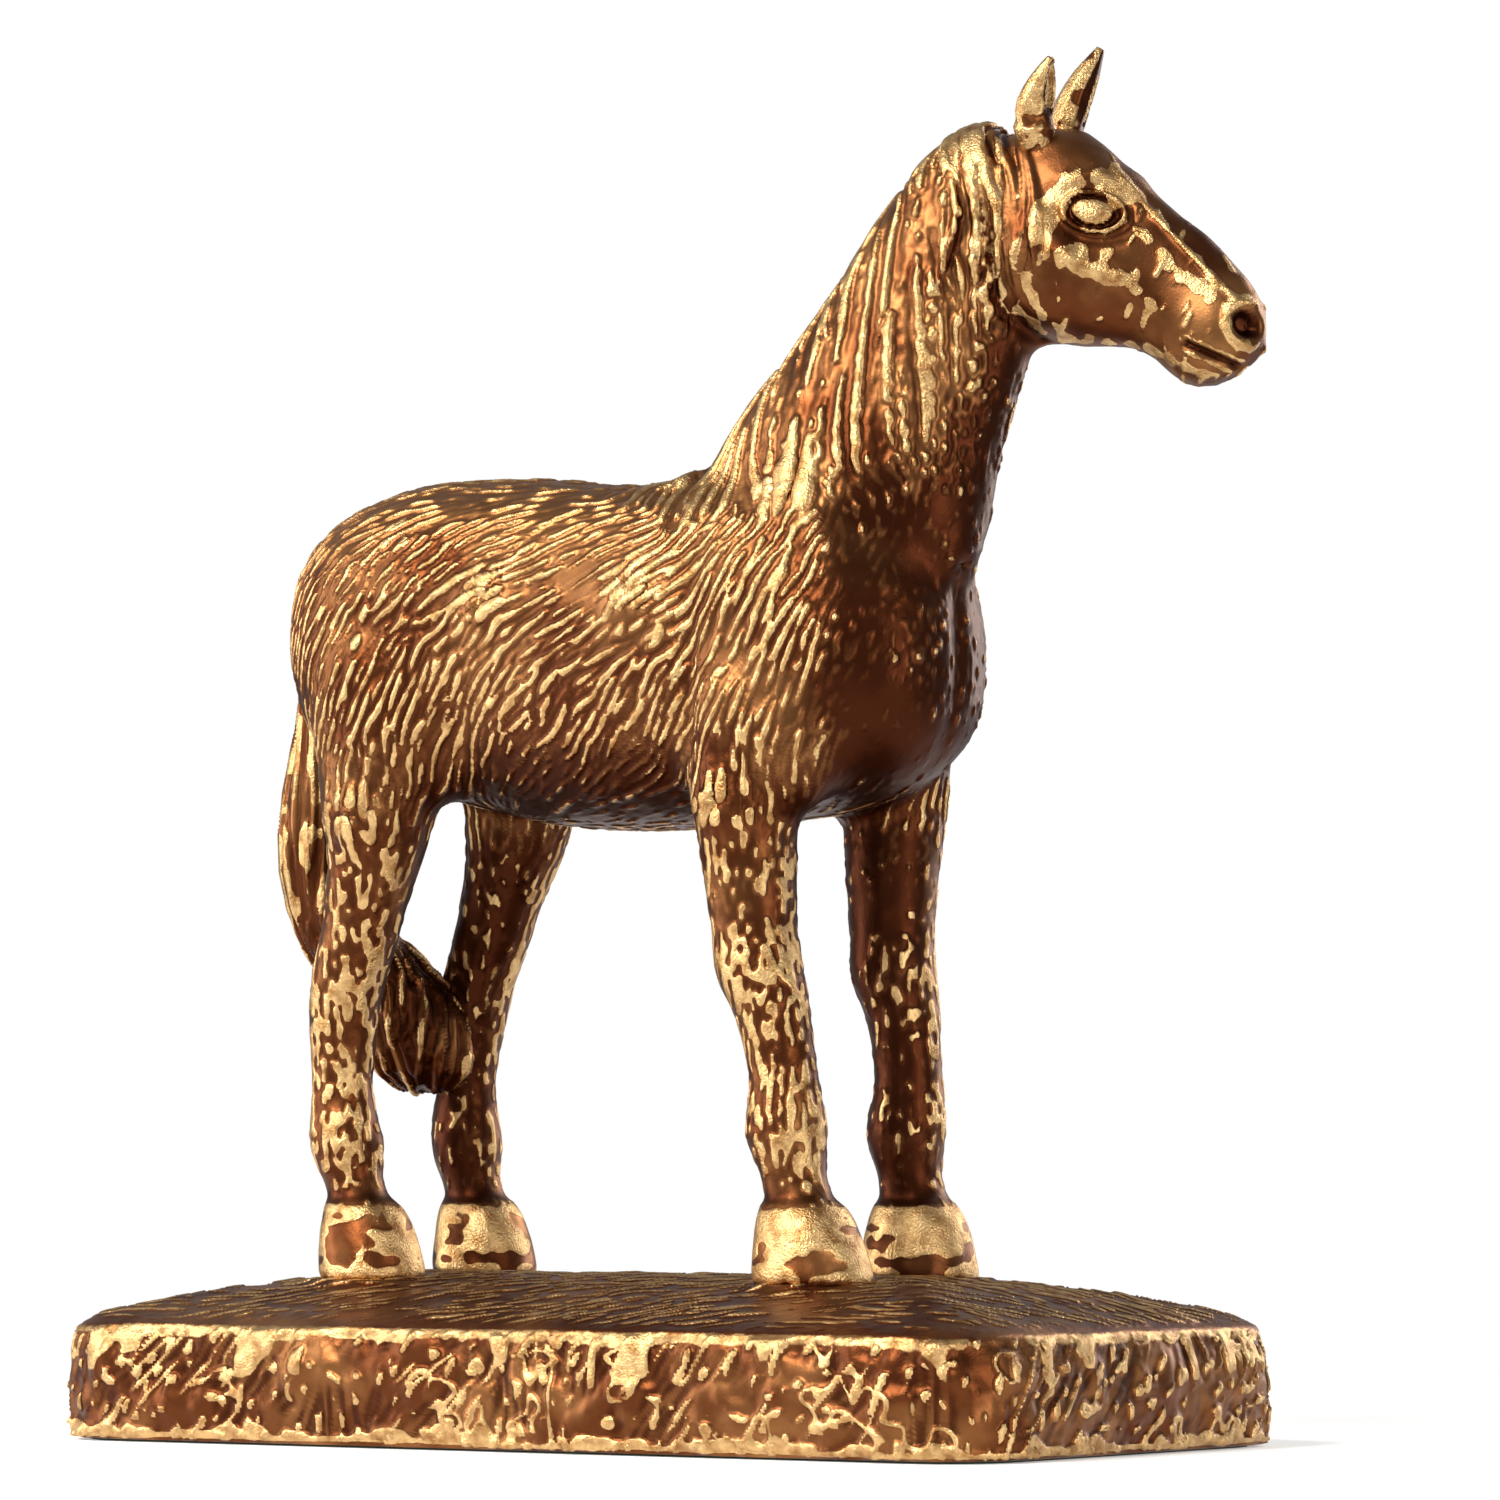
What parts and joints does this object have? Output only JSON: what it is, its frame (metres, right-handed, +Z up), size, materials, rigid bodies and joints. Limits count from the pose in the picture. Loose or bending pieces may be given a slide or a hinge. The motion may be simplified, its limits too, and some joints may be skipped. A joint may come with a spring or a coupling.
{
  "type": "horse statuette",
  "caption": "Standing cast bronze horse, head turned a little left, tail curved to a hind leg, studded to a rough-hewn oblong base with a felt underside.",
  "frame": {"origin": "middle of the underside of the felt pad, which the statuette rests on", "axes": "+Z up, +X the way the horse faces, +Y the horse's left"},
  "size_m": [0.2557, 0.128, 0.2905],
  "materials": {
    "patinated_bronze": "cast bronze, dark brown patina in the hollows, rubbed through to gold on the ridges of the hair",
    "base_bronze": "rough-hewn cast bronze, brown patina, gold on the crests and the lower edge",
    "pin_bronze": "plain drawn bronze rod",
    "steel": "zinc plated steel hardware",
    "cover_brass": "rolled brass sheet",
    "felt": "pressed green felt"
  },
  "bodies": {
    "root": {"torso": "patinated_bronze", "head_and_neck": "patinated_bronze", "ear_left": "patinated_bronze", "ear_right": "patinated_bronze", "left_foreleg": "patinated_bronze", "right_foreleg": "patinated_bronze", "left_hind_leg": "patinated_bronze", "right_hind_leg": "patinated_bronze", "tail": "patinated_bronze", "base": "base_bronze", "left_foreleg_pin": "pin_bronze", "right_foreleg_pin": "pin_bronze", "left_hind_leg_pin": "pin_bronze", "right_hind_leg_pin": "pin_bronze", "neck_pin_left": "pin_bronze", "neck_pin_right": "pin_bronze", "neck_pin_throat": "pin_bronze", "tail_pin": "pin_bronze", "core_plug_loin_left": "pin_bronze", "core_plug_loin_right": "pin_bronze", "core_plug_ribs_left": "pin_bronze", "core_plug_ribs_right": "pin_bronze", "stud_left_fore": "steel", "stud_right_fore": "steel", "stud_left_hind": "steel", "stud_right_hind": "steel", "washer_left_fore": "steel", "washer_right_fore": "steel", "washer_left_hind": "steel", "washer_right_hind": "steel", "nut_left_fore": "steel", "nut_right_fore": "steel", "nut_left_hind": "steel", "nut_right_hind": "steel", "cover_plate": "cover_brass", "felt_pad": "felt", "cover_screw_1": "steel", "cover_screw_2": "steel", "cover_screw_3": "steel", "cover_screw_4": "steel", "cover_screw_5": "steel", "cover_screw_6": "steel"}
  },
  "joints": []
}
